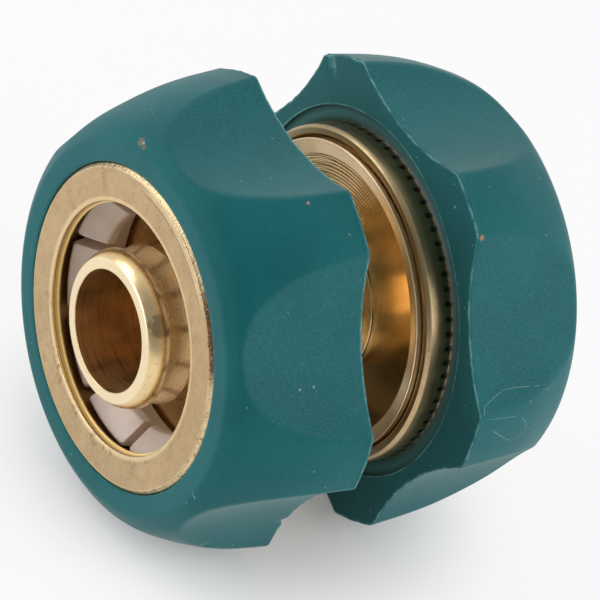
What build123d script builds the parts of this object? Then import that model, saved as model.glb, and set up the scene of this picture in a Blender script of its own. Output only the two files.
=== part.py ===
from build123d import *
from math import cos, radians, sin
import os

# Hose mender. A turned brass centre body has a barbed tail at each end and two threaded collars with
# a thin neck between them. Onto each collar screws a brass nut in a moulded rubber grip, and inside
# each nut lies a slotted plastic collet that the nut's cone squeezes onto the hose.
# The common axis lies along X, the middle of the neck is the origin, and +Z is up. The grips' ridges
# stand so that the mender lies on two of them at each end. Sizes are in millimetres.

# Centre body
bore_radius = 5.0
tail_wall = 1.55
neck_wall = 1.3
neck_length = 6.3
collar_length = 6.45
collar_chamfer = 0.35
rim_width = 1.3
rim_height = 0.42
barb_depth = 0.6
barb_count = 3
barb_groove = 0.4
nose_length = 1.65
nose_land = 0.6
nose_bevel = 0.7
nose_rounding = 1.3
nose_stand = 1.05

# Nut, with room for the hose's wall round the tail
hose_space = 3.75
ring_step = 0.6
ring_length = 1.3
ring_bevel = 0.4
mouth_bevel = 0.2
lip_length = 0.75
lip_land = 0.16
lip_rise = 0.14
lip_undercut = 0.65
cone_rise = 1.45
cone_length = 5.6
chamber_length = 1.2
thread_step = 0.7
nut_wall = 1.0
knurl_stand = 0.4
knurl_depth = 0.4
knurl_count = 72
skirt_length = 2.05
skirt_rounding = 0.3
lead_in_width = 0.4
lead_in_depth = 0.2

# Grip; each dome point is a share of the length from the shoulder and a drop below the crest
grip_wall = 5.15
grip_set_back = 0.15
shoulder_width = 1.8
dome_points = [(0.068, 3.15), (0.233, 1.98), (0.487, 0.92)]
flute_count = 6
flute_depth = 2.85
flute_radius = 20.0
flute_tilt = 2.0
flute_rounding = 0.5
recess_width = 0.95
recess_depth = 0.35

# Collet; the first slot's angle is in degrees
collet_wall = 1.1
collet_set_back = 1.85
collet_hoop = 1.5
finger_count = 10
finger_start = 34.0
finger_rounding = 0.4
slot_width = 0.9
claw_stand = 1.2
claw_tip_width = 0.2
claw_lead_depth = 1.9
claw_land = 0.8
claw_back = 0.4

# Clearances
thread_clearance = 0.1
shoulder_clearance = 0.2
cone_clearance = 0.3
collet_clearance = 0.3

# Places along the axis, from the middle outwards
disc_x = neck_length / 2
rim_x = disc_x - rim_height
collar_end_x = disc_x + collar_length
skirt_end_x = disc_x
grip_face_x = skirt_end_x + skirt_length
cone_base_x = collar_end_x + chamber_length
lip_x = cone_base_x + cone_length
ring_face_x = lip_x + lip_length
knurl_end_x = ring_face_x - ring_length
shoulder_x = ring_face_x - grip_set_back
tail_end_x = ring_face_x + nose_stand
nose_step_x = tail_end_x - nose_length
nut_shoulder_x = collar_end_x + shoulder_clearance
collet_base_x = collar_end_x + collet_clearance
collet_front_x = ring_face_x - collet_set_back
claw_x = collet_front_x - claw_lead_depth
claw_back_x = claw_x - claw_land

# Radii, from the waterway outwards, each a wall or a step beyond its neighbour
neck_radius = bore_radius + neck_wall
barb_radius = bore_radius + tail_wall
tail_root_radius = barb_radius - barb_depth
nose_face_radius = barb_radius - nose_bevel
mouth_radius = barb_radius + hose_space
claw_radius = mouth_radius - claw_stand
cone_mouth_radius = mouth_radius + lip_undercut
cone_base_radius = cone_mouth_radius + cone_rise
collet_front_radius = cone_mouth_radius + cone_rise * (lip_x - collet_front_x) / cone_length - cone_clearance
hoop_radius = cone_base_radius - cone_clearance
collet_bore_radius = hoop_radius - collet_wall
thread_bore_radius = cone_base_radius + thread_step
collar_radius = thread_bore_radius - thread_clearance
skirt_radius = thread_bore_radius + nut_wall
ring_radius = skirt_radius - ring_step
knurl_radius = skirt_radius + knurl_stand
shoulder_radius = ring_radius + shoulder_width
recess_radius = knurl_radius + recess_width
crest_radius = knurl_radius + grip_wall

os.makedirs("parts", exist_ok=True)


def end_plane(end):
    """Plane through the axis: its first direction runs outwards to that end, its second straight up."""
    return Plane(origin=(0, 0, 0), x_dir=(end, 0, 0), z_dir=(0, -end, 0))


def across_plane(end, x):
    """Plane square to the axis at distance x from the middle, facing outwards."""
    return Plane(origin=(end * x, 0, 0), x_dir=(0, end, 0), z_dir=(end, 0, 0))


def flute_plane(end, turn, start_x):
    """Plane square to one flute's line, which dips towards the axis as it runs to the ring face."""
    floor_radius = crest_radius - flute_depth
    tilt = radians(flute_tilt)
    upright = Vector(0, sin(radians(turn)), cos(radians(turn)))
    outwards = Vector(end, 0, 0) * cos(tilt) - upright * sin(tilt)
    centre = Vector(end * grip_face_x, 0, 0) + upright * (floor_radius + flute_radius)
    start = centre - outwards * (grip_face_x - start_x)
    return Plane(origin=start, x_dir=outwards.cross(upright), z_dir=outwards)


def knurl_corners():
    """Corners of the straight knurl, crest and root in turn."""
    half_tooth = 180 / knurl_count
    corners = []
    for tooth in range(2 * knurl_count):
        radius = knurl_radius - knurl_depth * (tooth % 2)
        angle = radians(tooth * half_tooth)
        corners.append((radius * sin(angle), radius * cos(angle)))
    return corners


def barb_outline():
    """Tail outline from the nose's step down to the collar: grooves and ramps that hold the hose."""
    pitch = (nose_step_x - collar_end_x) / barb_count
    points = []
    for barb in range(barb_count):
        outer_x = nose_step_x - barb * pitch
        points.append((outer_x, tail_root_radius))
        points.append((outer_x - barb_groove, tail_root_radius))
        points.append((outer_x - pitch, barb_radius))
    return points


# One turned piece: neck, dished collars, barbed tails and the waterway through all of it
with BuildPart() as centre_body:
    with BuildSketch(Plane.XZ) as body_section:
        with BuildLine():
            Polyline(
                (0, neck_radius),
                (disc_x, neck_radius),
                (disc_x, collar_radius - rim_width),
                (rim_x, collar_radius),
                (collar_end_x - collar_chamfer, collar_radius),
                (collar_end_x, collar_radius - collar_chamfer),
                *reversed(barb_outline()),
                (nose_step_x, barb_radius),
                (nose_step_x + nose_land, barb_radius),
            )
            RadiusArc((nose_step_x + nose_land, barb_radius), (tail_end_x, nose_face_radius), nose_rounding)
            Polyline((tail_end_x, nose_face_radius), (tail_end_x, 0), (0, 0))
            mirror(about=Plane.YZ)
        make_face()
    revolve(axis=Axis.X)
    with BuildSketch(across_plane(-1, tail_end_x)):
        Circle(bore_radius)
    extrude(amount=-2 * tail_end_x, mode=Mode.SUBTRACT)
centre_body.part.label = "centre_body"
export_step(centre_body.part, "parts/centre_body.step")

for side, end in (("left", -1), ("right", 1)):
    # Nut: ring face with the hose's mouth, knurled wall under the grip, bare skirt beyond it
    with BuildPart() as nut:
        with BuildSketch(end_plane(end)):
            with BuildLine():
                Polyline(
                    (skirt_end_x, thread_bore_radius + lead_in_width),
                    (skirt_end_x, skirt_radius - skirt_rounding),
                )
                RadiusArc(
                    (skirt_end_x, skirt_radius - skirt_rounding),
                    (skirt_end_x + skirt_rounding, skirt_radius),
                    skirt_rounding,
                )
                Polyline(
                    (skirt_end_x + skirt_rounding, skirt_radius),
                    (knurl_end_x, skirt_radius),
                    (knurl_end_x, ring_radius),
                    (ring_face_x - ring_bevel, ring_radius),
                    (ring_face_x, ring_radius - ring_bevel),
                    (ring_face_x, mouth_radius + mouth_bevel),
                    (ring_face_x - mouth_bevel, mouth_radius),
                    (lip_x + lip_land, mouth_radius),
                    (lip_x + lip_land, mouth_radius - lip_rise),
                    (lip_x, mouth_radius - lip_rise),
                    (lip_x, cone_mouth_radius),
                    (cone_base_x, cone_base_radius),
                    (nut_shoulder_x, cone_base_radius),
                    (nut_shoulder_x, thread_bore_radius),
                    (skirt_end_x + lead_in_depth, thread_bore_radius),
                    (skirt_end_x, thread_bore_radius + lead_in_width),
                )
            make_face()
        revolve(axis=Axis.X)
        with BuildSketch(across_plane(end, grip_face_x)):
            Polygon(*knurl_corners(), align=None)
            Circle(skirt_radius - knurl_depth, mode=Mode.SUBTRACT)
        extrude(amount=knurl_end_x - grip_face_x)
    nut.part.label = f"{side}_nut"
    export_step(nut.part, f"parts/{side}_nut.step")

    # Grip: domed rubber sleeve with six scooped flutes, moulded over the nut's knurl
    with BuildPart() as grip:
        with BuildSketch(end_plane(end)):
            with BuildLine():
                grip_length = shoulder_x - grip_face_x
                dome = [(shoulder_x - share * grip_length, crest_radius - drop) for share, drop in dome_points]
                Spline((shoulder_x, shoulder_radius), *dome, (grip_face_x, crest_radius))
                Polyline(
                    (grip_face_x, crest_radius),
                    (grip_face_x, 0),
                    (shoulder_x, 0),
                    (shoulder_x, shoulder_radius),
                )
            make_face()
        revolve(axis=Axis.X)
        for flute in range(flute_count):
            with BuildSketch(flute_plane(end, flute * 360 / flute_count, grip_face_x - flute_radius / 4)):
                Circle(flute_radius)
            extrude(amount=ring_face_x + flute_radius, mode=Mode.SUBTRACT)
        fillet(grip.edges().filter_by(GeomType.BSPLINE), flute_rounding)
        with BuildSketch(across_plane(end, 0)):
            Circle(ring_radius)
        extrude(amount=ring_face_x, mode=Mode.SUBTRACT)
        with BuildSketch(across_plane(end, grip_face_x)):
            Polygon(*knurl_corners(), align=None)
        extrude(amount=knurl_end_x - grip_face_x, mode=Mode.SUBTRACT)
        with BuildSketch(across_plane(end, grip_face_x)):
            Circle(recess_radius)
        extrude(amount=recess_depth, mode=Mode.SUBTRACT)
    grip.part.label = f"{side}_grip"
    export_step(grip.part, f"parts/{side}_grip.step")

    # Collet: a closed hoop by the collar and slotted fingers, each with a claw behind its flared tip
    with BuildPart() as collet:
        with BuildSketch(end_plane(end)):
            with BuildLine():
                Polyline(
                    (collet_base_x, collet_bore_radius),
                    (collet_base_x, hoop_radius),
                    (cone_base_x, hoop_radius),
                    (collet_front_x, collet_front_radius),
                    (collet_front_x, collet_front_radius - claw_tip_width),
                    (claw_x, claw_radius),
                    (claw_back_x, claw_radius),
                    (claw_back_x - claw_back, collet_bore_radius),
                    (collet_base_x, collet_bore_radius),
                )
            make_face()
        revolve(axis=Axis.X)
        with BuildSketch(across_plane(end, collet_base_x + collet_hoop)):
            with PolarLocations(collet_front_radius, finger_count, start_angle=finger_start):
                Rectangle(collet_front_radius, slot_width)
        extrude(amount=ring_face_x - collet_base_x, mode=Mode.SUBTRACT)
        tip_edges = collet.edges().filter_by(GeomType.LINE).sort_by(Axis.X)
        fillet(tip_edges[-2 * finger_count :] if end > 0 else tip_edges[: 2 * finger_count], finger_rounding)
    collet.part.label = f"{side}_collet"
    export_step(collet.part, f"parts/{side}_collet.step")
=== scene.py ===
import bpy
import math
import numpy as np
from mathutils import Matrix, Vector


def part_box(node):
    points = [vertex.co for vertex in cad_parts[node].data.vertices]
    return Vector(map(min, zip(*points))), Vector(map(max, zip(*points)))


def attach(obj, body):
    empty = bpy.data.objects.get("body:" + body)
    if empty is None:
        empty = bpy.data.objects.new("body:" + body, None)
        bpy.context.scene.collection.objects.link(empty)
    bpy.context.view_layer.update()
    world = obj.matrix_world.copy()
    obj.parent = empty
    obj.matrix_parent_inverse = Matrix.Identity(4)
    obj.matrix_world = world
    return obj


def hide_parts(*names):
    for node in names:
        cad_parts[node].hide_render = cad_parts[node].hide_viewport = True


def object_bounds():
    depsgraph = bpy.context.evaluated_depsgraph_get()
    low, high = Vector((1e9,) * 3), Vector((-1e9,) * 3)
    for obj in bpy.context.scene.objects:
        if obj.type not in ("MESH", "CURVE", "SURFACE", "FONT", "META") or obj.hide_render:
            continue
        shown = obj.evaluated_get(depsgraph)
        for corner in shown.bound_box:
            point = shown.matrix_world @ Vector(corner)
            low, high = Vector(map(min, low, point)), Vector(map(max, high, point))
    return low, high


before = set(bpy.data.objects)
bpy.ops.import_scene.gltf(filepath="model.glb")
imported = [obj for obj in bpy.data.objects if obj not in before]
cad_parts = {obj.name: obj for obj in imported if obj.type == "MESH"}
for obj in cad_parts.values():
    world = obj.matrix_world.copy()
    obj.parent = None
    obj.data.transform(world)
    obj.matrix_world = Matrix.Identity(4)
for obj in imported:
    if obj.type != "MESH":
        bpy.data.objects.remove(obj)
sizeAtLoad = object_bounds()

# All lengths below are in millimetres and become metres when a mesh is made.
mm = 0.001


def corners(node):
    low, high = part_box(node)
    return Vector(low) / mm, Vector(high) / mm


bodyHigh = corners("centre_body")[1]
nutLow, nutHigh = corners("right_nut")
gripLow, gripHigh = corners("right_grip")
colletLow, colletHigh = corners("right_collet")
threadPitch = 1.5
onSurface = 0.01
bothEnds = (("Left", -1), ("Right", 1))

# Mesh helpers


def addObject(name, data):
    thing = bpy.data.objects.new(name, data)
    bpy.context.scene.collection.objects.link(thing)
    return thing


def softOutline(points, longest=1.6):
    # Rounds each corner (x, radius, rounding) of a closed outline and splits the long runs
    cornerSteps, edgeRun = 4, 0.05
    outline = []
    for here, (x, radius, rounding) in enumerate(points):
        nextX, nextRadius, nextRounding = points[(here + 1) % len(points)]
        corner, after = Vector((x, radius)), Vector((nextX, nextRadius))
        legIn = (Vector(points[here - 1][:2]) - corner).normalized()
        legOut = (after - corner).normalized()
        left = corner
        if rounding > 0:
            start, end = corner + legIn * rounding, corner + legOut * rounding
            outline.append(start + legIn * min(edgeRun, rounding))
            for step in range(cornerSteps + 1):
                t = step / cornerSteps
                outline.append(start * (1 - t) ** 2 + corner * (2 * t * (1 - t)) + end * t * t)
            left = end + legOut * min(edgeRun, rounding)
        outline.append(left)
        right = after - legOut * (nextRounding + min(edgeRun, nextRounding))
        parts = int((right - left).length / longest)
        for part in range(1, parts):
            outline.append(left.lerp(right, part / parts))
    return outline


def closeRows(start, stop, radius, rows):
    # Outline points so close together that a thread can be cut in their rings
    return [(start + (stop - start) * row / rows, radius, 0) for row in range(rows + 1)]


def ringRows(outline, turns, shape):
    # One ring of points for each outline point; shape moves the ring's radius and place
    angle = np.arange(turns) * 2 * math.pi / turns
    rows = []
    for x, radius in outline:
        across = np.full(turns, float(x))
        reach = np.full(turns, float(radius))
        across, reach = shape(across, reach, angle)
        rows.append(np.column_stack([across, reach * np.sin(angle), reach * np.cos(angle)]))
    return rows


def ringMesh(name, rows, mirrored=False):
    # Joins the rings into one closed skin and turns its faces outwards
    points = np.array(rows) * mm
    if mirrored:
        points[:, :, 0] *= -1
    rings, turns = points.shape[:2]
    ring = np.arange(rings)[:, None]
    turn = np.arange(turns)[None, :]
    nextRing = (ring + 1) % rings
    nextTurn = (turn + 1) % turns
    quads = np.stack([
        ring * turns + turn,
        nextRing * turns + turn,
        nextRing * turns + nextTurn,
        ring * turns + nextTurn,
    ], axis=-1).reshape(-1, 4)
    flat = points.reshape(-1, 3)
    a, b, c, d = (flat[quads[:, k]] for k in range(4))
    volume = (np.cross(a, b) * c).sum() + (np.cross(a, c) * d).sum()
    if volume < 0:
        quads = quads[:, ::-1]
    mesh = bpy.data.meshes.new(name)
    mesh.from_pydata(flat.tolist(), [], quads.tolist())
    mesh.polygons.foreach_set("use_smooth", [True] * len(mesh.polygons))
    return addObject(name, mesh)


def mark(piece, name, values):
    # A number for each point, which a material reads by name
    layer = piece.data.attributes.new(name, "FLOAT", "POINT")
    layer.data.foreach_set("value", np.asarray(values, dtype=np.float32).ravel())


def threadWave(across, angle, handed):
    # 1 on a thread's crest and 0 in its root. handed is -1 for a right-hand thread, and 1 for one
    # that becomes right-hand when ringMesh mirrors it
    steepness, rootWidth = 1.5, 0.25
    phase = (across / threadPitch - handed * angle / (2 * math.pi)) % 1.0
    flank = np.clip(np.abs(phase * 2 - 1) * steepness - rootWidth, 0, 1)
    return flank * flank * (3 - 2 * flank)


# Shader helpers


class Socket:
    # One output of a node, with arithmetic that adds Math nodes
    def __init__(self, tree, link):
        self.tree = tree
        self.link = link

    def add(self, kind, settings=None, sockets=None, out=0):
        # Adds a node: its type, its settings, then the values or links of its sockets
        node = self.tree.nodes.new(kind)
        for key, value in (settings or {}).items():
            setattr(node, key, value)
        for key, value in (sockets or {}).items():
            if isinstance(value, Socket):
                self.tree.links.new(value.link, node.inputs[key])
            elif value is not None:
                node.inputs[key].default_value = value
        return Socket(self.tree, node.outputs[out])

    def calc(self, operation, *values):
        return self.add("ShaderNodeMath", {"operation": operation}, dict(enumerate(values)))

    def vectorCalc(self, operation, first, second, out="Vector"):
        sockets = {0: first, 1: second}
        return self.add("ShaderNodeVectorMath", {"operation": operation}, sockets, out)

    def __add__(self, other):
        return self.calc("ADD", self, other)

    def __radd__(self, other):
        return self.calc("ADD", other, self)

    def __sub__(self, other):
        return self.calc("SUBTRACT", self, other)

    def __rsub__(self, other):
        return self.calc("SUBTRACT", other, self)

    def __mul__(self, other):
        return self.calc("MULTIPLY", self, other)

    def __rmul__(self, other):
        return self.calc("MULTIPLY", other, self)

    def __pow__(self, other):
        return self.calc("POWER", self, other)

    def sine(self):
        return self.calc("SINE", self)

    def size(self):
        return self.calc("ABSOLUTE", self)

    def rise(self, low, high):
        # 0 below low, 1 above high, smooth between; with low above high it falls
        return self.add(
            "ShaderNodeMapRange",
            {"interpolation_type": "SMOOTHSTEP"},
            {"Value": self, "From Min": low, "From Max": high, "To Min": 0.0, "To Max": 1.0},
        )

    def blend(self, below, above):
        # This value mixes from one colour to the other
        sockets = {0: self}
        for index, colour in ((6, below), (7, above)):
            sockets[index] = colour if isinstance(colour, Socket) else (*colour, 1)
        return self.add("ShaderNodeMix", {"data_type": "RGBA"}, sockets, 2)

    def noise(self, scale, detail=3.0, rough=0.5):
        # This socket is the place where the noise is read
        return self.add(
            "ShaderNodeTexNoise",
            None,
            {"Vector": self, "Scale": scale, "Detail": detail, "Roughness": rough},
        )

    def dots(self, scale):
        # Distance to the nearest of some scattered points, in cells
        return self.add("ShaderNodeTexVoronoi", None, {"Vector": self, "Scale": scale}, "Distance")


def vector(x, y, z):
    return x.add("ShaderNodeCombineXYZ", None, {"X": x, "Y": y, "Z": z})


class Finish:
    # A material with its shader, and the places that its textures are read from
    def __init__(self, name, constants):
        self.material = bpy.data.materials.new(name)
        self.material.use_nodes = True
        self.tree = self.material.node_tree
        self.tree.nodes.clear()
        self.shader = self.tree.nodes.new("ShaderNodeBsdfPrincipled")
        output = self.tree.nodes.new("ShaderNodeOutputMaterial")
        self.tree.links.new(self.shader.outputs[0], output.inputs["Surface"])
        for key, value in constants.items():
            self.shader.inputs[key].default_value = value
        first = Socket(self.tree, None)
        metres = first.add("ShaderNodeTexCoord", None, None, "Object")
        self.place = metres.add(
            "ShaderNodeVectorMath", {"operation": "SCALE"}, {0: metres, "Scale": 1 / mm})
        split = self.place.add("ShaderNodeSeparateXYZ", None, {0: self.place}).link.node
        self.x, self.y, self.z = (Socket(self.tree, split.outputs[k]) for k in range(3))
        self.radius = (self.y * self.y + self.z * self.z) ** 0.5
        self.angle = self.y.calc("ARCTAN2", self.y, self.z)

    def feed(self, **links):
        names = {
            "colour": "Base Color", "rough": "Roughness", "normal": "Normal", "metal": "Metallic"}
        for key, socket in links.items():
            self.tree.links.new(socket.link, self.shader.inputs[names[key]])

    def paint(self, colour, look, *layers):
        # Lays colours of the look over each other, each through its mask
        for mask, name in layers:
            colour = mask.blend(colour, look[name])
        return colour

    def bumps(self, *layers):
        # Each layer is (height in mm, its socket); the later ones lie on the earlier
        normal = None
        for depth, height in layers:
            normal = height.add(
                "ShaderNodeBump",
                None,
                {"Strength": 1.0, "Distance": depth * mm, "Height": height, "Normal": normal},
            )
        return normal

    def turned(self, fine, around):
        # Where a tool's marks are read: fine across the marks and slow around the axis
        return vector(self.x * fine, self.radius * fine, self.angle * around)

    def near(self, spot, reach, ragged=0.35):
        # 1 within a ragged patch round a point
        away = self.place.vectorCalc("DISTANCE", self.place, spot, "Value")
        grain = self.place.noise(2.2 / reach, 3.0)
        return (away + (grain - 0.5) * (ragged * 4 * reach)).rise(reach, reach * 0.6)

    def stroke(self, start, end, width):
        # 1 along a fine scratch or hair from one point to another
        run = Vector(end) - Vector(start)
        off = self.place.vectorCalc("SUBTRACT", self.place, start)
        share = off.vectorCalc("DOT_PRODUCT", off, tuple(run / run.length_squared), "Value")
        share = share.calc("MINIMUM", share.calc("MAXIMUM", share, 0.0), 1.0)
        footShade = off.add(
            "ShaderNodeVectorMath", {"operation": "SCALE"}, {0: tuple(run), "Scale": share})
        return off.vectorCalc("DISTANCE", off, footShade, "Value").rise(width, width * 0.4)

    def named(self, attribute):
        return self.place.add("ShaderNodeAttribute", {"attribute_name": attribute}, None, "Fac")


print("frame loaded:", len(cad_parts), "nodes")

# Centre body: turned brass, with tool marks round the axis and brown stains

bodyBrass = {
    "clean": (0.80, 0.58, 0.31),
    # painted highlight colour, laid on the nose face and on the upper part of the dished rim
    "paintedHighlight": (1.0, 0.86, 0.62),
    # painted light: a paler colour for the tail, which the ring shades
    "paintedTailLight": (0.95, 0.73, 0.40),
    "deep": (0.60, 0.40, 0.17),
    "disc": (0.70, 0.56, 0.36),
    # painted shade for the bottom of the disc and rim
    "footShade": (0.38, 0.26, 0.13),
    "bore": (0.95, 0.66, 0.33),
    "stain": (0.17, 0.085, 0.03),
    "roughness": 0.27,
    "markDepth": 0.007,
    # turned grooves of the disc: pitch, depth, radii between which they show, and the same
    # for the turn about the axis
    "ringPitch": 0.29,
    "ringDepth": 0.028,
    "ringRadii": (8.0, 8.6, 11.5, 11.9),
    "ringArc": (-0.25, 0.25, 2.0, 2.6),
    "smudge": ((-17.2, -4.8, 4.3), 1.1),
    "pits": ((-17.2, -6.0, -2.4), 1.5),
}


def makeBodyBrass():
    look = bodyBrass
    finish = Finish("bodyBrass", {"Metallic": 1.0, "IOR": 1.45})
    marks = finish.turned(9.0, 1.4).noise(1.0, 4.0, 0.6)
    coarse = finish.turned(2.6, 0.8).noise(1.0, 2.0, 0.5)
    streaks = finish.turned(5.0, 0.5).noise(1.0, 3.0, 0.7)
    cloud = finish.place.noise(0.28, 4.0, 0.55)
    inBore = finish.radius.rise(body["bore"] + 0.12, body["bore"] + 0.02)
    onDisc = (finish.x.size() - nutLow.x).size().rise(0.30, 0.12)
    onNeck = finish.x.size().rise(nutLow.x - 0.5, nutLow.x - 0.9)
    rimPlace = (finish.x.size() - (nutLow.x - 0.25)).size().rise(0.35, 0.25)
    onRim = onDisc.calc("MAXIMUM", onDisc, rimPlace)
    onRim = onRim * finish.radius.rise(body["discEdge"] - 0.1, body["discEdge"] + 0.1)
    plainDisc = onDisc - onDisc * onRim
    pitted = finish.place.noise(1.1, 2.0).rise(0.50, 0.62) + finish.near(*look["pits"], 0.2)
    pits = finish.place.dots(3.2).rise(0.15, 0.06) * pitted.calc("MINIMUM", pitted, 1.0)
    inner, innerFull, outerFull, outer = look["ringRadii"]
    inRing = finish.radius.rise(inner, innerFull) * finish.radius.rise(outer, outerFull)
    first, firstFull, lastFull, last = look["ringArc"]
    inArc = finish.angle.rise(first, firstFull) * finish.angle.rise(last, lastFull)
    ringZone = plainDisc * inRing * (inArc * 0.94 + 0.06)
    rings = (finish.radius * (2 * math.pi / look["ringPitch"]) + coarse * 2.5).sine() * 0.5 + 0.5
    dull = finish.place.noise(1.3, 4.0, 0.6)
    polished = plainDisc * 0.52 + onNeck * 0.35
    onTail = finish.x.size().rise(body["collarEnd"] - 0.2, body["collarEnd"] + 0.2)
    noseFace = finish.x.size().rise(bodyHigh.x - 0.15, bodyHigh.x - 0.03)
    boreShade = finish.turned(0.2, 1.6).noise(1.0, 2.0).rise(0.42, 0.66)
    # painted shade: the disc and rim darker towards the bottom
    footShade = onDisc.calc("MAXIMUM", onDisc, onRim) * finish.z.rise(1.0, -3.5)
    finish.feed(
        colour=finish.paint(
            cloud.rise(0.38, 0.66).blend(look["clean"], look["deep"]),
            look,
            (marks.rise(0.58, 0.80) * (1 - plainDisc) * 0.45, "deep"),
            # painted light: the tail is painted paler where the ring shades it
            (onTail * 0.65, "paintedTailLight"),
            # painted highlight on the nose face and on the upper part of the dished rim
            (noseFace * 0.60 + onRim * finish.z.rise(-3.0, 1.0) * 0.6, "paintedHighlight"),
            (plainDisc * 0.6, "disc"),
            # painted shade towards the bottom of the disc and rim
            (footShade * 0.85, "footShade"),
            (inBore * 0.8, "bore"),
            # the bore's streaks are stains, and boreShade is painted shade in the same colour
            (inBore * (streaks.rise(0.50, 0.66) * 0.45 + boreShade * 0.45), "stain"),
            (pits * (1 - plainDisc) * 0.8, "stain"),
            (finish.near(*look["smudge"], 0.3) * 0.55, "stain"),
        ),
        rough=(marks * 0.12 + dull * 0.14 + pits * 0.3 + (look["roughness"] - 0.13))
        * (1 - polished) + onRim * 0.10 + inBore * 0.12,
        normal=finish.bumps(
            (look["ringDepth"], rings * ringZone),
            (look["markDepth"], marks * (1 - polished * 1.3 + inBore * 1.2 + onRim * 0.8)),
            (0.02, 1 - pits * (1 - plainDisc)),
        ),
    )
    return finish.material


body = {
    "bore": 5.0,
    "neckRadius": 6.3,
    "discEdge": bodyHigh.y - 1.3,
    "rimStand": 0.42,
    "collarEnd": 9.6,
    "collarChamfer": 0.4,
    "rootRadius": 5.95,
    "barbRadius": 6.55,
    "barbs": 3,
    "groove": 0.4,
    "noseLength": 1.65,
    "noseLand": 0.22,
    "noseFace": 5.85,
    "noseRound": 2.2,
    "threadDepth": 0.5,
    "threadFade": 0.5,
    "threadRows": 54,
    "turns": 192,
}


def roundBetween(start, end, radius, steps=9):
    # Points of the bulging arc of that radius from one point to the other
    a, b = Vector(start), Vector(end)
    middle, chord = (a + b) / 2, b - a
    sink = math.sqrt(radius ** 2 - chord.length_squared / 4)
    centre = middle + Vector((chord.y, -chord.x)).normalized() * sink
    first = math.atan2(a.y - centre.y, a.x - centre.x)
    last = math.atan2(b.y - centre.y, b.x - centre.x)
    turns = [first + (last - first) * step / (steps - 1) for step in range(steps)]
    return [(centre.x + radius * math.cos(t), centre.y + radius * math.sin(t), 0) for t in turns]


def halfBodyCorners():
    # Corners from the neck outwards: disc, dished rim, collar, barbs and nose
    b = body
    disc, collarEnd = nutLow.x, b["collarEnd"]
    rimEdge = disc - b["rimStand"]
    noseStep = bodyHigh.x - b["noseLength"]
    shape = [
        (disc, b["neckRadius"], 0.12),
        (disc, b["discEdge"], 0.06),
        (rimEdge, bodyHigh.y - 0.05, 0.08),
        *closeRows(rimEdge + 0.12, collarEnd - 0.3, bodyHigh.y, b["threadRows"]),
        (collarEnd, bodyHigh.y - b["collarChamfer"], 0.1),
        (collarEnd, b["barbRadius"], 0.1),
    ]
    pitch = (noseStep - collarEnd) / b["barbs"]
    for barb in reversed(range(b["barbs"])):
        outer = noseStep - barb * pitch
        if barb < b["barbs"] - 1:
            shape.append((outer - pitch, b["barbRadius"], 0.05))
        shape.append((outer - b["groove"], b["rootRadius"], 0.1))
        shape.append((outer, b["rootRadius"], 0.1))
    land = (noseStep + b["noseLand"], b["barbRadius"])
    shape += [
        (noseStep, b["barbRadius"], 0.07),
        *roundBetween(land, (bodyHigh.x, b["noseFace"]), b["noseRound"]),
        (bodyHigh.x, b["noseFace"] - 0.08, 0),
        (bodyHigh.x, b["bore"], 0.08),
    ]
    return shape


def makeBody():
    half = halfBodyCorners()
    whole = [(-x, r, soft) for x, r, soft in reversed(half)] + half
    outline = softOutline(whole, 2.2)

    def cutThread(across, reach, angle):
        x, fade = abs(across[0]), body["threadFade"]
        within = min(
            1.0, max(0.0, (x - nutLow.x + 0.3) / fade), max(0.0, (body["collarEnd"] - x) / fade))
        if reach[0] > bodyHigh.y - onSurface:
            # both threads are right-handed
            reach = reach - body["threadDepth"] * within * (1 - threadWave(across, angle, -1))
        return across, reach

    piece = ringMesh("BodyTurned", ringRows(outline, body["turns"], cutThread))
    piece.data.materials.append(makeBodyBrass())
    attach(piece, "centre_body")
    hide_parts("centre_body")


makeBody()
print("centre body turned")

# Nuts: matte ring face, bright edge, knurl, skirt and the thread inside

nutBrass = {
    "clean": (0.545, 0.390, 0.220),
    "light": (0.605, 0.443, 0.253),
    # worn brass, also laid as a painted highlight on the lit side's wide edge
    "worn": (0.86, 0.68, 0.40),
    "deep": (0.40, 0.26, 0.105),
    "shaded": (0.26, 0.22, 0.12),
    "stain": (0.14, 0.065, 0.03),
    # painted shade for the knurl's gaps and the skirt next to the rubber
    "knurlShade": (0.050, 0.040, 0.024),
    "inside": (1.0, 0.76, 0.33),
    "roughness": 0.38,
    "markDepth": 0.008,
    "scratch": ((-17.15, 8.1, 10.5), (-17.15, 6.9, 8.9)),
    # sides of the ring that are worn dark, dull, and lit, where its wide edge gets a painted
    # highlight: the middle's turn about the axis, and how far from it each is none and full
    "sides": ((-0.92, 0.34, 0.14), (-1.55, 0.70, 0.30), (-0.30, 0.52, 0.36)),
}

nut = {
    "skirtRadius": 14.1,
    "ringRadius": 13.5,
    "ringLength": 1.3,
    "ringBevel": 0.40,
    "mouth": 10.3,
    "mouthBevel": 0.22,
    "lipLength": 0.75,
    "lipStep": 0.16,
    "lipHeight": 0.14,
    "coneMouth": 10.95,
    "coneBase": 12.4,
    "coneLength": 5.6,
    "threadRadius": 13.1,
    "threadDepth": 0.45,
    "threadFade": 0.6,
    "threadRows": 46,
    "shoulder": 9.8,
    # the skirt's rounded end as (length along the axis, drop): its knee and the whole of it
    "skirtKnee": (0.28, 0.05),
    "skirtDrop": (0.9, 0.28),
    "knurls": 72,
    # the knurl runs out into the skirt as shallow notches and steps up inside the rubber
    "runOut": 0.6,
    "runOutDepth": 0.22,
    "runOutEnd": 0.8,
    "knurlStep": 0.50,
    # steepness of a notch's sides, the land between notches and how much it shrinks
    "notch": (3.2, 2.9, 0.8),
    "turns": 576,
}


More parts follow.
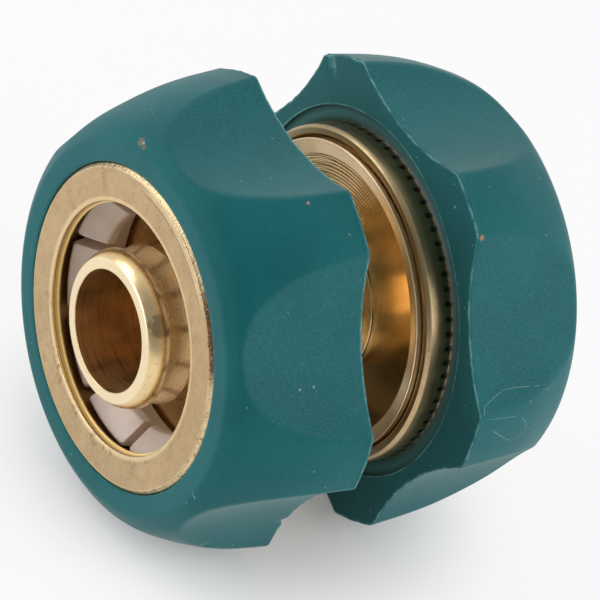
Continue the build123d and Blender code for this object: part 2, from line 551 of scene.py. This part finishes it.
def makeNutBrass():
    look = nutBrass
    finish = Finish("nutBrass", {"Metallic": 1.0, "IOR": 1.45})
    marks = finish.turned(7.0, 1.2).noise(1.0, 4.0, 0.6)
    grain = finish.place.noise(5.5, 4.0, 0.65)
    cloud = finish.place.noise(0.5, 4.0, 0.6)
    blotch = finish.place.noise(0.9, 4.0, 0.7)
    depth = (finish.x.size() - nutHigh.x) * -1
    onFace = depth.rise(0.12, 0.04)
    outside = finish.radius.rise(nut["mouth"] + 0.2, nut["mouth"] + 0.5)
    fromEdge = nut["ringRadius"] - finish.radius
    fromMouth = finish.radius - nut["mouth"]
    bevel = fromEdge.rise(0.55, 0.35) * depth.rise(0.6, 0.4)
    outerEdge = fromEdge.rise(0.50, 0.22) * depth.rise(1.4, 0.9)
    innerEdge = fromMouth.rise(0.5, 0.2) * depth.rise(0.35, 0.2)
    inMouth = (1 - outside) * (1 - innerEdge)
    mouthStain = fromMouth.rise(1.3, 0.3) * onFace * blotch.rise(0.52, 0.64)
    mouthStain = mouthStain * finish.z.rise(-2.0, -7.0)
    wornSide, lowSide, litSide = (
        (finish.angle - middle).size().rise(none, full) for middle, none, full in look["sides"])
    # painted highlight over the wide edge on the lit side, with a thin darker line inside it
    litEdgeHighlight = litSide * onFace * fromEdge.rise(0.95, 0.80)
    edgeLine = litSide * onFace * (fromEdge - 0.98).size().rise(0.10, 0.03)
    patches = finish.place.noise(0.35, 3.0).rise(0.44, 0.58)
    spots = grain.rise(0.47, 0.60) * finish.place.noise(1.3, 3.0).rise(0.42, 0.56)
    alongKnurl = finish.x.size() - gripLow.x
    behindRing = depth.rise(1.2, 1.5)
    # painted shade in the knurl's gaps
    gapShade = (finish.angle * nut["knurls"] + math.pi / 2).sine().rise(0.1, 0.8)
    gapShade = gapShade * alongKnurl.rise(-0.45, -0.1) * fromEdge.rise(0.0, -0.2) * behindRing
    # painted shade on the skirt next to the knurl and the rubber, broken by grain
    knurlRecessShade = (grain * 0.5 + 0.5) * alongKnurl.rise(-0.50, -0.1) * outside * behindRing
    scratch = finish.stroke(*look["scratch"], 0.07) * grain.rise(0.42, 0.55)
    stained = outerEdge * (spots * 0.4 + wornSide * grain.rise(0.30, 0.46) * 0.9)
    stained = stained + spots * outside * (bevel * patches * 0.5 + 0.10) + mouthStain * 0.5
    offFace = (1 - onFace) * outside
    finish.feed(
        colour=finish.paint(
            cloud.rise(0.35, 0.68).blend(look["clean"], look["light"]),
            look,
            (outside * blotch.rise(0.50, 0.68) * 0.30, "deep"),
            (offFace * finish.z.rise(3.0, 10.0) * 0.55, "shaded"),
            (offFace * marks.rise(0.45, 0.8) * 0.40, "deep"),
            ((bevel * (1 - wornSide * 0.8) + innerEdge) * 0.7, "worn"),
            # painted highlight on the lit side's wide edge, in the worn colour
            (litEdgeHighlight * (0.35 + grain.rise(0.40, 0.60) * 0.5), "worn"),
            (edgeLine * grain.rise(0.35, 0.55) * 0.45, "stain"),
            (lowSide * onFace * cloud.rise(0.42, 0.62) * 0.30, "deep"),
            # painted shade next to the knurl and in its gaps
            (knurlRecessShade * 0.35, "knurlShade"),
            (gapShade * 0.85, "knurlShade"),
            (inMouth * 0.9, "inside"),
            (stained.calc("MINIMUM", stained, 0.9), "stain"),
            (scratch * 0.75, "stain"),
        ),
        metal=1 - inMouth * 0.65,
        rough=onFace * 0.12 + grain * 0.14 + spots * 0.12 + (look["roughness"] - 0.12)
        - (bevel + innerEdge) * 0.06,
        normal=finish.bumps(
            (0.03, cloud * onFace),
            (look["markDepth"], marks * (1 - onFace * 0.7)),
            (0.014, grain * onFace - scratch),
            (0.03, (bevel + outerEdge + litEdgeHighlight) * grain),
        ),
    )
    return finish.material


nutMaterial = makeNutBrass()


def makeNut(side, end):
    n = nut
    skirtEnd, face = nutLow.x, nutHigh.x
    lip = face - n["lipLength"]
    knurlStart, knurlEnd = gripLow.x, face - n["ringLength"]
    (kneeLength, kneeDrop), (endLength, endDrop) = n["skirtKnee"], n["skirtDrop"]
    runOutShares = (1, 0.75, 0.5, 0.25, 0)
    shape = [
        (skirtEnd + 0.2, n["threadRadius"], 0.05),
        (skirtEnd, n["threadRadius"] + 0.25, 0.05),
        (skirtEnd, n["skirtRadius"] - endDrop, 0.05),
        (skirtEnd + kneeLength, n["skirtRadius"] - kneeDrop, 0.16),
        (skirtEnd + endLength, n["skirtRadius"], 0.25),
        *((knurlStart - n["runOut"] * share, n["skirtRadius"], 0) for share in runOutShares),
        (knurlStart + n["knurlStep"] - 0.04, n["skirtRadius"], 0),
        (knurlStart + n["knurlStep"], nutHigh.y, 0),
        (knurlEnd, nutHigh.y, 0),
        (knurlEnd, n["ringRadius"], 0),
        (face - n["ringBevel"], n["ringRadius"], 0.12),
        (face, n["ringRadius"] - n["ringBevel"], 0.06),
        (face, n["mouth"], n["mouthBevel"]),
        (lip + n["lipStep"], n["mouth"], 0.03),
        (lip + n["lipStep"], n["mouth"] - n["lipHeight"], 0.04),
        (lip, n["mouth"] - n["lipHeight"], 0.04),
        (lip, n["coneMouth"], 0.05),
        (lip - n["coneLength"], n["coneBase"], 0.1),
        (n["shoulder"], n["coneBase"], 0.1),
        (n["shoulder"], n["threadRadius"], 0.05),
        *closeRows(n["shoulder"] - 0.1, skirtEnd + 0.3, n["threadRadius"], n["threadRows"]),
    ]
    outline = softOutline(shape)

    def cutDetail(across, reach, angle):
        x, radius = across[0], reach[0]
        outside = radius > n["skirtRadius"] - onSurface
        if outside and knurlStart - n["runOut"] < x < knurlEnd + onSurface:
            # the notches grow wider and deeper along their run-out
            steepness, land, shrink = n["notch"]
            tooth = (angle * n["knurls"] / (2 * math.pi)) % 1.0
            off = x - knurlStart
            grown = min(1.0, 1 + off / n["runOut"])
            gap = np.clip(np.abs(tooth * 2 - 1) * steepness - land + shrink * grown, 0, 1)
            depth = n["runOutDepth"] * min(grown, max(0.0, 1 - off / n["runOutEnd"]))
            reach = radius - gap * (radius - n["skirtRadius"] + depth)
        if abs(radius - n["threadRadius"]) < 0.001:
            fade = n["threadFade"]
            within = min(
                1.0, max(0.0, (x - skirtEnd - 0.2) / fade), max(0.0, (n["shoulder"] - x) / fade))
            # right-handed at both ends, so the mirrored nut turns the other way here
            groove = 1 - threadWave(across, angle, -1 if end > 0 else 1)
            reach = reach - n["threadDepth"] * within * groove
        return across, reach

    piece = ringMesh(f"Nut{side}", ringRows(outline, n["turns"], cutDetail), end < 0)
    piece.data.materials.append(nutMaterial)
    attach(piece, f"{side.lower()}_nut")
    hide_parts(f"{side.lower()}_nut")


for side, end in bothEnds:
    makeNut(side, end)
print("nuts turned, knurled and threaded")

# Grips: domed rubber sleeves with six flutes, thin flash on the moulded edges

rubber = {
    "base": (0.0020, 0.123, 0.133),
    "pale": (0.0040, 0.141, 0.152),
    "dark": (0.0010, 0.081, 0.090),
    "flash": (0.19, 0.46, 0.47),
    "dust": (0.30, 0.42, 0.41),
    "roughness": 0.58,
    "specular": 0.18,
    "sheen": 0.21,
    "sheenRoughness": 0.45,
    "grainDepth": 0.017,
    # place, reach and colour of the larger specks
    "specks": {
        "brown": ((-16.63, 4.98, 15.14), 0.42, (0.20, 0.165, 0.12)),
        "crumb": ((-16.72, 4.30, 15.16), 0.33, (0.17, 0.135, 0.095)),
        "paleBit": ((-16.60, 4.68, 15.28), 0.17, (0.44, 0.42, 0.36)),
        "grey": ((-9.03, -7.51, 17.67), 0.27, (0.13, 0.12, 0.15)),
        "greyBit": ((-8.98, -7.49, 17.68), 0.13, (0.48, 0.44, 0.46)),
        "orange": ((5.64, -12.06, 15.31), 0.28, (0.42, 0.22, 0.10)),
        "paleOne": ((-11.16, -15.95, 5.97), 0.13, (0.40, 0.52, 0.52)),
        "paleTwo": ((-9.86, -15.95, 6.02), 0.11, (0.40, 0.52, 0.52)),
        "paleThree": ((5.2, -8.44, 15.65), 0.16, (0.25, 0.40, 0.38)),
    },
    # corners of the fine pale lines, and the ends of one short fibre
    "hairs": (
        ((5.62, -19.24, 2.82), (5.84, -18.78, 3.26), (6.81, -18.36, 3.60),
         (7.94, -17.97, 3.93), (9.14, -17.93, 3.92), (11.46, -18.00, 3.73),
         (12.48, -18.09, 3.17), (13.38, -17.76, 3.12)),
        ((6.27, -19.41, 2.30), (8.32, -19.22, 1.99), (9.71, -19.02, 1.72), (10.79, -18.86, 0.69),
         (11.28, -18.74, -0.26), (10.45, -18.92, -0.85)),
        ((6.70, -19.46, 1.22), (8.70, -19.25, -0.29), (9.71, -19.07, -0.93)),
    ),
    "fibre": ((-16.92, -14.3, -4.9), (-16.80, -14.9, -5.6)),
}

grip = {
    "shoulderRadius": 15.3,
    "boreRadius": 13.5,
    "knurlRadius": 14.15,
    # points of the dome, as the depth from the shoulder and the drop below the ridges
    "dome": [(0.8, 3.15), (2.75, 1.98), (5.75, 0.92)],
    "domeRows": 52,
    "flutes": 6,
    "fluteDepth": 2.85,
    "fluteRadius": 20.0,
    "fluteTilt": 2.0,
    "crease": 0.26,
    "unevenness": 0.03,
    "recessRadius": 15.45,
    "recessDepth": 0.35,
    # height of the moulding flash, depth of the burrs and the seed of each grip's unevenness
    "flash": 0.07,
    "ragged": 0.09,
    "seeds": {"Left": 11, "Right": 29},
    # place, reach and depth of the torn spots
    "nicks": (
        ((5.2, 11.08, 15.44), 0.75, 0.55),
        ((-5.25, -12.96, -11.95), 0.55, 0.45),
        ((-15.99, -8.04, -14.63), 0.5, 0.16),
        ((-11.81, -12.1, -13.9), 0.6, 0.14),
    ),
    "turns": 720,
}


def makeRubber():
    look = rubber
    finish = Finish("gripRubber", {
        "Metallic": 0.0, "IOR": 1.46, "Specular IOR Level": look["specular"],
        "Sheen Weight": look["sheen"], "Sheen Roughness": look["sheenRoughness"]})
    grain = finish.place.noise(6.0, 4.0, 0.6)
    cloud = finish.place.noise(0.16, 3.0, 0.5)
    edge = finish.named("edgeWear")
    scuffZone = finish.place.noise(0.20, 2.0).rise(0.50, 0.66)
    stretched = finish.place.add("ShaderNodeMapping", None, {
        "Vector": finish.place, "Rotation": (0.4, 0.9, 0.3), "Scale": (0.25, 2.6, 2.6)})
    scratches = stretched.noise(1.5, 4.0, 0.7).rise(0.66, 0.72) * scuffZone
    dust = finish.place.dots(0.55).rise(0.065, 0.03)
    dusty = finish.place.noise(0.35, 2.0).rise(0.48, 0.62)
    fineDust = finish.place.dots(2.2).rise(0.15, 0.08) * dusty
    inRecess = finish.radius.rise(grip["recessRadius"] + 0.05, grip["recessRadius"] - 0.15)
    recess = (finish.x.size() - gripLow.x).rise(0.5, 0.3) * inRecess
    hollow = finish.named("inFlute") * finish.place.noise(7.0, 3.0, 0.7).rise(0.45, 0.68)
    broken = finish.place.noise(0.7, 2.0).rise(0.38, 0.60)
    colour = finish.paint(
        cloud.rise(0.35, 0.68).blend(look["base"], look["pale"]),
        look,
        (grain.rise(0.44, 0.70) * 0.45, "dark"),
        (scratches * 0.22, "dust"),
        (dust * 0.55 + fineDust * 0.14, "dust"),
    )
    for spot, reach, tint in look["specks"].values():
        colour = (finish.near(spot, reach, 0.45) * 0.85).blend(colour, tint)
    colour = (finish.stroke(*look["fibre"], 0.09) * 0.8).blend(colour, look["dust"])
    faint = finish.place.noise(0.9, 2.0).rise(0.36, 0.52) * 0.5
    for line in look["hairs"]:
        for start, stop in zip(line, line[1:]):
            colour = (finish.stroke(start, stop, 0.055) * faint).blend(colour, look["dust"])
    colour = finish.paint(
        colour,
        look,
        (recess * 0.14, "dust"),
        (hollow * 0.10, "dust"),
        (edge * grain.rise(0.28, 0.55) * (broken * 0.65 + 0.18), "flash"),
    )
    finish.feed(
        colour=colour,
        rough=grain * 0.14 + cloud * 0.06 + scratches * 0.08 + (look["roughness"] - 0.10),
        normal=finish.bumps(
            (0.03, cloud), (look["grainDepth"], grain), (0.015, 1 - scratches - dust)),
    )
    return finish.material


rubberMaterial = makeRubber()


def domeSpline(steps):
    # Smooth curve through the dome's points, from the shoulder to the crest at the inner face
    g = grip
    depths = [0.0] + [depth for depth, drop in g["dome"]] + [gripHigh.x - gripLow.x]
    radii = [g["shoulderRadius"]] + [gripHigh.y - drop for depth, drop in g["dome"]] + [gripHigh.y]
    knots = [0.0]
    for k in range(1, len(depths)):
        knots.append(knots[-1] + math.hypot(depths[k] - depths[k - 1], radii[k] - radii[k - 1]))
    count = len(knots)
    table = np.zeros((count, count))
    table[0, 0] = table[-1, -1] = 1
    for k in range(1, count - 1):
        before, after = knots[k] - knots[k - 1], knots[k + 1] - knots[k]
        table[k, k - 1: k + 2] = before, 2 * (before + after), after

    def curve(values, where):
        pull = np.zeros(count)
        for k in range(1, count - 1):
            before, after = knots[k] - knots[k - 1], knots[k + 1] - knots[k]
            rises = (values[k] - values[k - 1]) / before, (values[k + 1] - values[k]) / after
            pull[k] = 6 * (rises[1] - rises[0])
        bend = np.linalg.solve(table, pull)
        k = min(np.searchsorted(knots, where, side="right") - 1, count - 2)
        span = knots[k + 1] - knots[k]
        a, b = (knots[k + 1] - where) / span, (where - knots[k]) / span
        bulge = ((a ** 3 - a) * bend[k] + (b ** 3 - b) * bend[k + 1]) * span * span / 6
        return a * values[k] + b * values[k + 1] + bulge

    places = [knots[-1] * (s / steps) ** 1.15 for s in range(steps + 1)]
    return [(gripHigh.x - curve(depths, p), curve(radii, p)) for p in places]


def fluteRadiusAt(x, angle):
    # Radius of the scooped flutes at this place along the grip
    g = grip
    tilt = math.radians(g["fluteTilt"])
    floor = gripHigh.y - g["fluteDepth"] - (x - gripLow.x) * math.tan(tilt)
    centre = floor + g["fluteRadius"] / math.cos(tilt)
    step = 2 * math.pi / g["flutes"]
    off = (angle + step / 2) % step - step / 2
    inside = np.maximum(g["fluteRadius"] ** 2 - (centre * np.sin(off)) ** 2, 0.0)
    reach = centre * np.cos(off) - np.sqrt(inside)
    return np.where(np.abs(centre * np.sin(off)) < g["fluteRadius"], reach, 1e3)


def softLower(a, b, soft):
    # The lower of two radii with their crease rounded
    mix = np.maximum(soft - np.abs(a - b), 0) / soft
    return np.minimum(a, b) - mix * mix * soft / 4


def wander(angle, along, seed, waves=5):
    # Slow repeatable unevenness round a ring, from -1 to 1
    rng = np.random.default_rng(seed)
    total = np.zeros_like(angle)
    for wave in range(waves):
        turn = angle * rng.integers(2, 9) + along * rng.uniform(0.2, 0.6) + rng.uniform(0, 6.28)
        total += np.sin(turn)
    return total / waves


def nickedBy(x, reach, angle, end, seed):
    # How deep the torn spots are at these places
    rng = np.random.default_rng(seed)
    rough = 0.6 + 0.8 * rng.random(len(angle))
    y, z = reach * np.sin(angle), reach * np.cos(angle)
    total = np.zeros(len(angle))
    for spot, size, depth in grip["nicks"]:
        away = np.sqrt((end * x - spot[0]) ** 2 + (y - spot[1]) ** 2 + (z - spot[2]) ** 2)
        total += depth * np.clip(1.2 - 1.2 * away / size, 0, 1) * rough
    return total


def makeGrip(side, end):
    g = grip
    face, shoulder = gripLow.x, gripHigh.x
    angle = np.arange(g["turns"]) * 2 * math.pi / g["turns"]
    seed = g["seeds"][side]
    rows, wear, inFlute = [], [], []
    whole = np.full(g["turns"], 1.0)

    def addRow(x, reach, worn=0.0, scooped=0.0):
        reach = whole * reach
        rows.append(np.column_stack([whole * x, reach * np.sin(angle), reach * np.cos(angle)]))
        wear.append(whole * worn)
        inFlute.append(whole * scooped)

    def skin(x, dome):
        reach = softLower(np.full(g["turns"], dome), fluteRadiusAt(x, angle), g["crease"])
        return reach + g["unevenness"] * (wander(angle, x, seed) - 1)

    # from the pocket behind the nut's ring out to the shoulder
    pocket, bore = nutHigh.x - nut["ringLength"] - 0.02, g["boreRadius"]
    addRow(pocket, g["knurlRadius"])
    addRow(pocket, bore)
    addRow(shoulder - 0.12, bore)
    addRow(shoulder - 0.03, bore + 0.03, 0.2)
    addRow(shoulder, bore + 0.12)
    for share in (0.3, 0.55, 0.8):
        addRow(shoulder - 0.02 * share, bore + (g["shoulderRadius"] - bore) * share)
    addRow(shoulder - 0.03, g["shoulderRadius"] - 0.12)

    # over the dome and the flutes to the rim of the inner face, which has burrs and flash
    dome = domeSpline(g["domeRows"])
    for x, radius in dome[1:-1]:
        if x > face + 0.25:
            addRow(x, skin(x, radius), 0.0, fluteRadiusAt(x, angle) < radius)
    crest = dome[-1][1]
    burrs = np.random.default_rng(seed + 5).random(253) - 1
    rim = skin(face, crest) + np.interp(angle * 40, np.arange(len(burrs)), burrs) * g["ragged"]
    flash = 0.4 * g["flash"] * (0.5 + 0.5 * wander(angle, 0.0, seed + 1, 9))
    addRow(face + 0.22, skin(face + 0.22, crest))
    addRow(face + 0.14, rim, 0.2)
    addRow(face + 0.06, rim + 0.02, 0.8)
    addRow(face - flash, rim + 0.02, 1.0)
    addRow(face - flash, rim - 0.05, 1.0)
    addRow(face, rim - 0.10, 0.6)
    addRow(face, rim - 0.20)

    # down the inner face and into the recess round the skirt
    edge, floor = g["recessRadius"], face + g["recessDepth"]
    for share in (0.15, 0.35, 0.55, 0.75, 0.9):
        height = (rim - 0.2) * (1 - share) + (edge + 0.2) * share
        addRow(face + 0.02 * wander(angle, share * 9, seed + 2), height)
    flash = 0.5 * g["flash"] * (0.5 + 0.5 * wander(angle, 3.0, seed + 3, 9))
    addRow(face, edge + 0.16)
    addRow(face, edge + 0.08, 0.6)
    addRow(face - flash, edge + 0.03, 1.0)
    addRow(face, edge - 0.02, 1.0)
    addRow(face + 0.08, edge - 0.02, 0.3)
    addRow(floor - 0.06, edge - 0.02)
    addRow(floor, edge - 0.08)
    addRow(floor, edge - 0.6)
    addRow(floor, nut["skirtRadius"])

    for k, row in enumerate(rows):
        reach = np.hypot(row[:, 1], row[:, 2])
        torn = nickedBy(row[:, 0], reach, angle, end, seed + k)
        row[:, 0] += torn * 0.5 * (row[:, 0] < face + 0.1)
        row[:, 1:] *= (1 - torn / reach)[:, None]
        wear[k] = np.minimum(1.0, wear[k] + torn * 1.5)
    piece = ringMesh(f"Grip{side}", rows, end < 0)
    mark(piece, "edgeWear", np.array(wear))
    mark(piece, "inFlute", np.array(inFlute))
    piece.data.materials.append(rubberMaterial)
    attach(piece, f"{side.lower()}_nut")
    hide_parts(f"{side.lower()}_grip")


for side, end in bothEnds:
    makeGrip(side, end)
print("grips moulded")

# Collets: milky plastic fingers on a hoop

plastic = {
    "base": (0.84, 0.73, 0.665),
    "shade": (0.78, 0.655, 0.58),
    "roughness": 0.36,
    "milkiness": 0.25,
    "milkDepth": 0.0012,
}

collet = {
    "bore": 11.0,
    "hoop": 1.5,
    "coneStart": 0.9,
    "front": 10.935,
    "tipWidth": 0.2,
    "clawRadius": 9.1,
    "leadDepth": 1.9,
    "clawLand": 0.8,
    "clawBack": 0.4,
    "fingers": 10,
    "firstSlot": 34.0,
    "slotWidth": 0.9,
    "tipRound": 0.4,
    "softEdge": 0.08,
    # columns of points on a finger, as distances from its side, then the cells across a slot
    "columns": (0.0, 0.02, 0.05, 0.08, 0.16, 0.27, 0.40),
    "middleColumns": 5,
    "slotCells": 3,
}


def makePlastic():
    look = plastic
    finish = Finish("colletPlastic", {
        "Metallic": 0.0, "IOR": 1.5,
        "Subsurface Weight": look["milkiness"], "Subsurface Scale": look["milkDepth"]})
    cloud = finish.place.noise(0.5, 3.0, 0.5)
    grain = finish.place.noise(6.0, 3.0, 0.6)
    finish.feed(
        colour=cloud.rise(0.35, 0.7).blend(look["base"], look["shade"]),
        rough=grain * 0.12 + (look["roughness"] - 0.06),
        normal=finish.bumps((0.04, cloud), (0.006, grain)),
    )
    return finish.material


plasticMaterial = makePlastic()


def colletOutline():
    # Closed outline that starts at the hoop's outside, and the number of its points on a finger
    c = collet
    base, front = colletLow.x, colletHigh.x
    root, coneStart = base + c["hoop"], base + c["coneStart"]
    slope = (colletHigh.y - c["front"]) / (front - coneStart)
    claw = front - c["leadDepth"]
    clawBack = claw - c["clawLand"]
    outline = softOutline([
        (root, colletHigh.y - slope * (root - coneStart), 0),
        (front, c["front"], 0.08),
        (front, c["front"] - c["tipWidth"], 0.09),
        (claw, c["clawRadius"], 0.18),
        (clawBack, c["clawRadius"], 0.14),
        (clawBack - c["clawBack"], c["bore"], 0.2),
        (root, c["bore"], 0),
        (base, c["bore"], 0.1),
        (base, colletHigh.y, 0.1),
        (coneStart, colletHigh.y, 0.1),
    ], 0.4)
    fingerEnd = Vector((root, c["bore"]))
    onFinger = min(range(len(outline)), key=lambda k: (outline[k] - fingerEnd).length) + 1
    return outline, onFinger


def roundDrop(away, radius):
    # How far a rounded edge falls back at this distance from its side
    near = max(radius - away, 0.0)
    return radius - math.sqrt(radius ** 2 - near ** 2)


def makeCollet(side, end):
    c = collet
    outline, onFinger = colletOutline()
    total = len(outline)
    root, front = outline[0].x, colletHigh.x
    inwards = []
    for k in range(total):
        run = (outline[(k + 1) % total] - outline[k - 1]).normalized()
        inwards.append(Vector((run.y, -run.x)))
    pitch = 2 * math.pi / c["fingers"]
    sides = len(c["columns"])
    fingerColumns = 2 * sides + c["middleColumns"]
    columns = fingerColumns + c["slotCells"] - 1
    points, faces, index = [], [], {}

    def place(k, column):
        # Point k of the outline on a column: along the axis, radius and turn from the slot's middle
        spot = outline[k].copy()
        edge = min(column, fingerColumns - 1 - column)
        if k < onFinger and column < fingerColumns and edge < sides:
            away = c["columns"][edge]
            fade = min(1.0, (spot.x - root) / 0.3)
            spot += inwards[k] * roundDrop(away, c["softEdge"]) * fade
            spot.x = min(spot.x, front - roundDrop(away, c["tipRound"]))
        turns = [math.asin((c["slotWidth"] / 2 + away) / spot.y) for away in c["columns"]]
        if column >= fingerColumns:
            share = (column - fingerColumns + 1) / c["slotCells"]
            turn = pitch + turns[0] * (2 * share - 1)
        elif edge < sides:
            turn = turns[edge] if column < sides else pitch - turns[edge]
        else:
            share = (column - sides + 1) / (c["middleColumns"] + 1)
            turn = turns[-1] + (pitch - 2 * turns[-1]) * share
        return spot.x, spot.y, turn

    def point(k, finger, column):
        if column == columns:
            finger, column = (finger + 1) % c["fingers"], 0
        key = (k % total, finger, column)
        if key not in index:
            x, radius, turn = place(k % total, column)
            # slots are counted from +Y towards +Z on the right and the other way on the left
            turn += math.radians(c["firstSlot"]) + finger * pitch
            index[key] = len(points)
            across, reach = end * x * mm, radius * mm
            points.append((across, end * reach * math.cos(turn), reach * math.sin(turn)))
        return index[key]

    for finger in range(c["fingers"]):
        for column in range(columns):
            onSlot = column >= fingerColumns - 1
            for k in range(onFinger - 1 if onSlot else 0, total):
                faces.append([
                    point(k, finger, column), point(k + 1, finger, column),
                    point(k + 1, finger, column + 1), point(k, finger, column + 1)])
            if onSlot:
                faces.append([
                    point(0, finger, column), point(onFinger - 1, finger, column),
                    point(onFinger - 1, finger, column + 1), point(0, finger, column + 1)])
        faces.append([point(k, finger, 0) for k in reversed(range(onFinger))])
        faces.append([point(k, finger, fingerColumns - 1) for k in range(onFinger)])
    mesh = bpy.data.meshes.new(f"Collet{side}")
    mesh.from_pydata(points, [], faces)
    piece = addObject(f"Collet{side}", mesh)
    bpy.context.view_layer.objects.active = piece
    piece.select_set(True)
    bpy.ops.object.mode_set(mode="EDIT")
    bpy.ops.mesh.select_all(action="SELECT")
    bpy.ops.mesh.normals_make_consistent(inside=False)
    bpy.ops.object.mode_set(mode="OBJECT")
    piece.select_set(False)
    mesh.polygons.foreach_set("use_smooth", [True] * len(mesh.polygons))
    shade = piece.modifiers.new("evenShading", "WEIGHTED_NORMAL")
    shade.keep_sharp = True
    piece.data.materials.append(plasticMaterial)
    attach(piece, f"{side.lower()}_collet")
    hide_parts(f"{side.lower()}_collet")


for side, end in bothEnds:
    makeCollet(side, end)
print("collets moulded")

# Camera at the photograph's angle

photoView = {
    "azimuth": -42.53,
    "elevation": 36.20,
    "roll": 18.93,
    "distance": 408.6,
    "clip": (0.01, 20.0),
    "aim": (0.23, -0.17, 0.04),
    "lens": 300.0,
    "sensor": 36.0,
}


def viewAxes():
    # Right, up and back directions of the camera in the part's frame
    azimuth, elevation, roll = (
        math.radians(photoView[key]) for key in ("azimuth", "elevation", "roll"))
    back = Vector((
        math.sin(azimuth) * math.cos(elevation),
        -math.cos(azimuth) * math.cos(elevation),
        math.sin(elevation),
    ))
    level = Vector((0, 0, 1)).cross(back).normalized()
    upright = back.cross(level)
    right = level * math.cos(roll) + upright * math.sin(roll)
    return right, back.cross(right), back


camRight, camUp, camBack = viewAxes()
camData = bpy.data.cameras.new("photoCamera")
camera = addObject("photoCamera", camData)
camData.lens = photoView["lens"]
camData.sensor_width = photoView["sensor"]
camData.clip_start, camData.clip_end = photoView["clip"]
aim = Vector(photoView["aim"]) * mm
turned = Matrix((camRight, camUp, camBack)).transposed().to_4x4()
camera.matrix_world = Matrix.Translation(aim + camBack * photoView["distance"] * mm) @ turned
bpy.context.scene.camera = camera
print("camera set")

# Floor, world and lamps

studio = {
    "floorColour": (0.90, 0.90, 0.90),
    "floorSize": 3000.0,
    "floorWhite": 0.84,
    # radius in mm inside which the floor's own white fades into a painted shadow under the
    # part, and what is left of it there
    "paintedShadow": (9.0, 25.0, 0.2),
    "domeLight": 0.74,
    "domeDark": 0.30,
    "lamps": {
        # right, up and towards the camera, in mm; size; watts
        "lampTop": ((-230, 280, 80), 220, 0.32),
        "lampRight": ((365, -40, 125), 330, 0.62),
        "lampLeft": ((-345, 40, 140), 330, 0.44),
    },
}


def makeFloor():
    half = studio["floorSize"] / 2 * mm
    low = sizeAtLoad[0][2]
    mesh = bpy.data.meshes.new("floor")
    square = ((-half, -half), (half, -half), (half, half), (-half, half))
    mesh.from_pydata([(x, y, low) for x, y in square], [], [(0, 1, 2, 3)])
    floor = addObject("floor", mesh)
    material = bpy.data.materials.new("floorPale")
    material.use_nodes = True
    tree = material.node_tree
    tree.nodes.clear()
    start = Socket(tree, None)
    path = start.add("ShaderNodeLightPath").link.node
    seen = Socket(tree, path.outputs["Is Camera Ray"])
    seen = seen.calc("MAXIMUM", seen, Socket(tree, path.outputs["Is Glossy Ray"]))
    seen = seen.calc("MAXIMUM", seen, Socket(tree, path.outputs["Is Transmission Ray"]))
    matte = start.add("ShaderNodeBsdfDiffuse", None, {"Color": (*studio["floorColour"], 1)})
    white = start.add("ShaderNodeEmission", None, {"Color": (1, 1, 1, 1), "Strength": 1.0})
    near, far, left = studio["paintedShadow"]
    spot = start.add("ShaderNodeTexCoord", None, None, "Object")
    away = spot.vectorCalc("DISTANCE", spot, (0, 0, low), "Value")
    # painted shadow: less of the floor's white near the part
    openFloor = away.rise(near * mm, far * mm) * (1 - left) + left
    share = seen * openFloor * studio["floorWhite"]
    both = start.add("ShaderNodeMixShader", None, {0: share, 1: matte, 2: white})
    output = tree.nodes.new("ShaderNodeOutputMaterial")
    tree.links.new(both.link, output.inputs["Surface"])
    mesh.materials.append(material)


def makeWorld():
    # A white tent that is darker round the side that the photograph is taken from
    world = bpy.data.worlds.new("studioWorld")
    bpy.context.scene.world = world
    world.use_nodes = True
    tree = world.node_tree
    tree.nodes.clear()
    start = Socket(tree, None)
    way = start.add("ShaderNodeTexCoord", None, None, "Generated")
    facing = way.vectorCalc("DOT_PRODUCT", way, tuple(camBack), "Value")
    light, dark = studio["domeLight"], studio["domeDark"]
    sockets = {"Color": (1, 1, 1, 1), "Strength": facing.rise(0.95, 0.35) * (light - dark) + dark}
    background = start.add("ShaderNodeBackground", None, sockets)
    output = tree.nodes.new("ShaderNodeOutputWorld")
    tree.links.new(background.link, output.inputs["Surface"])


def makeLamps():
    for name, (where, size, watts) in studio["lamps"].items():
        lampData = bpy.data.lights.new(name, "AREA")
        lampData.shape = "DISK"
        lampData.size = size * mm
        lampData.energy = watts
        lamp = addObject(name, lampData)
        spot = (camRight * where[0] + camUp * where[1] + camBack * where[2]) * mm
        lamp.location = spot
        lamp.rotation_mode = "QUATERNION"
        lamp.rotation_quaternion = spot.to_track_quat("Z", "Y")


makeFloor()
makeWorld()
makeLamps()
bpy.context.scene.view_settings.view_transform = "Standard"
print("studio lit")
